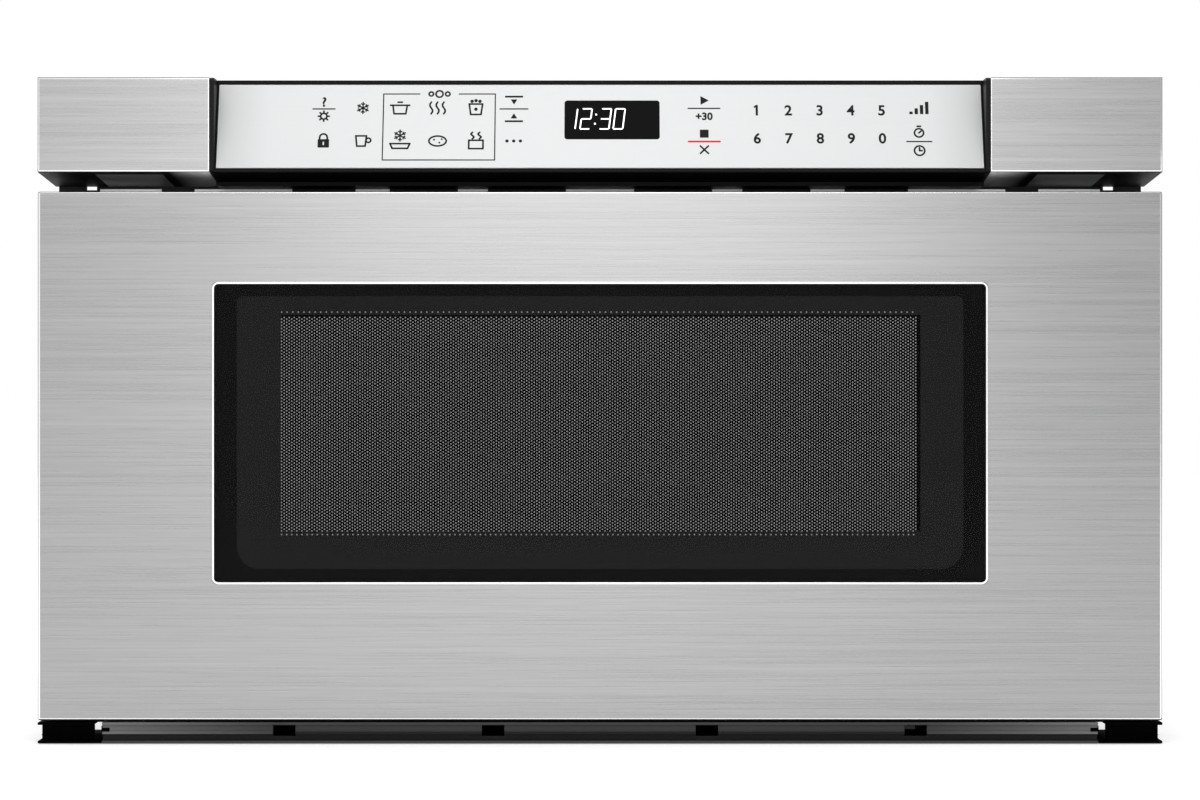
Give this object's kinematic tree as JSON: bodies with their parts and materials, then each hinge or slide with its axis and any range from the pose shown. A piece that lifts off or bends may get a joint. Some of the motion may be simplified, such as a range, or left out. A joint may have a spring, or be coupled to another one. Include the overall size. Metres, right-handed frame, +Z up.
{
  "type": "microwave drawer",
  "caption": "Built-in microwave oven drawer: steel body and flange, stainless front with window, leaning control strip, tray on telescopic slides with rack drive.",
  "frame": {"origin": "middle of the underside, halfway from the drawer front to the back of the cord gland", "axes": "+X to the right seen from the front, +Y to the back, +Z up"},
  "size_m": [0.76, 0.672, 0.45],
  "materials": {
    "brushed_steel": "fine horizontal brushing, satin",
    "bright_trim": "polished",
    "zinc_steel": "zinc plated, dull",
    "black_steel": "satin black paint",
    "black_plastic": "moulded, fine grain",
    "fascia_silver": "pale silver, satin",
    "lens_black": "polished",
    "circuit_board": "solder mask",
    "module_plastic": "moulded",
    "smoked_glass": "smoked, with a black printed border",
    "screen_steel": "satin black, perforated",
    "cavity_enamel": "baked grey enamel",
    "cover_ceramic": "ceramic",
    "aluminium": "mill finish",
    "core_steel": "varnished laminations",
    "can_metal": "plain",
    "motor_steel": "plated",
    "fan_plastic": "moulded",
    "lamp_white": "ceramic socket",
    "rubber": "matt",
    "tray_enamel": "grey, satin",
    "tray_glass": "ceramic glass plate",
    "rail_steel": "zinc plated",
    "pinion_nylon": "moulded",
    "screw_steel": "zinc plated"
  },
  "bodies": {
    "chassis": {"left_trim_block": "brushed_steel", "right_trim_block": "brushed_steel", "base_pan": "zinc_steel", "left_side_panel": "zinc_steel", "right_side_panel": "zinc_steel", "top_cover": "zinc_steel", "rear_panel": "zinc_steel", "exhaust_duct": "zinc_steel", "trim_brackets": "zinc_steel", "front_frame": "black_steel", "control_housing": "black_plastic", "end_caps": "black_plastic", "bottom_trim": "black_plastic", "bottom_end_blocks": "black_plastic", "control_fascia": "fascia_silver", "display_lens": "lens_black", "control_board": "circuit_board", "noise_filter_board": "circuit_board", "display_module": "module_plastic", "humidity_sensor": "module_plastic", "thermal_cutout": "module_plastic", "latch_switches": "module_plastic", "cavity_floor": "cavity_enamel", "cavity_ceiling": "cavity_enamel", "cavity_left_wall": "cavity_enamel", "cavity_right_wall": "cavity_enamel", "cavity_rear_wall": "cavity_enamel", "antenna_well": "cavity_enamel", "antenna_cover": "cover_ceramic", "waveguide": "aluminium", "magnetron": "aluminium", "hv_transformer": "core_steel", "hv_capacitor": "can_metal", "stirrer_motor": "motor_steel", "fan_motor": "motor_steel", "drive_unit": "motor_steel", "fan_shroud": "fan_plastic", "oven_lamp": "lamp_white", "cord_gland": "rubber", "outer_rails": "rail_steel", "chassis_screws": "screw_steel"},
    "drawer": {"drawer_front": "brushed_steel", "window_trim": "bright_trim", "window_glass": "smoked_glass", "window_screen": "screen_steel", "door_frame": "black_plastic", "choke_cover": "black_plastic", "door_seal": "rubber", "door_screws": "screw_steel", "latch_hooks": "screw_steel", "tray_body": "tray_enamel", "tray_glass": "tray_glass", "inner_rails": "rail_steel", "drawer_arms": "rail_steel", "drive_rack": "rail_steel"},
    "left_rail": {"left_middle_rail": "rail_steel"},
    "right_rail": {"right_middle_rail": "rail_steel"},
    "pinion": {"drive_pinion": "pinion_nylon"},
    "fan": {"fan_blade": "fan_plastic"},
    "stirrer": {"stirrer_antenna": "aluminium"}
  },
  "joints": [
    {"name": "drawer_slide", "type": "slide", "parent": "chassis", "child": "drawer", "axis": [0, -1, 0], "range_m": [0, 0.38]},
    {"name": "left_rail_slide", "type": "slide", "parent": "chassis", "child": "left_rail", "axis": [0, -1, 0], "range_m": [0, 0.19]},
    {"name": "right_rail_slide", "type": "slide", "parent": "chassis", "child": "right_rail", "axis": [0, -1, 0], "range_m": [0, 0.19]},
    {"name": "pinion_spin", "type": "hinge", "parent": "chassis", "child": "pinion", "pos_m": [0.2543, -0.2295, 0.06], "axis": [1, 0, 0], "range_deg": [0, 1814.9]},
    {"name": "fan_spin", "type": "hinge", "parent": "chassis", "child": "fan", "pos_m": [-0.12, 0.31, 0.245], "axis": [0, 1, 0], "continuous": true},
    {"name": "stirrer_spin", "type": "hinge", "parent": "chassis", "child": "stirrer", "pos_m": [0, -0.03025, 0.08], "axis": [0, 0, 1], "continuous": true}
  ],
  "couplings": [
    {"joint": "left_rail_slide", "follows": "drawer_slide", "ratio": 0.5},
    {"joint": "right_rail_slide", "follows": "drawer_slide", "ratio": 0.5},
    {"joint": "pinion_spin", "follows": "drawer_slide", "rad_per_m": 83.333}
  ]
}
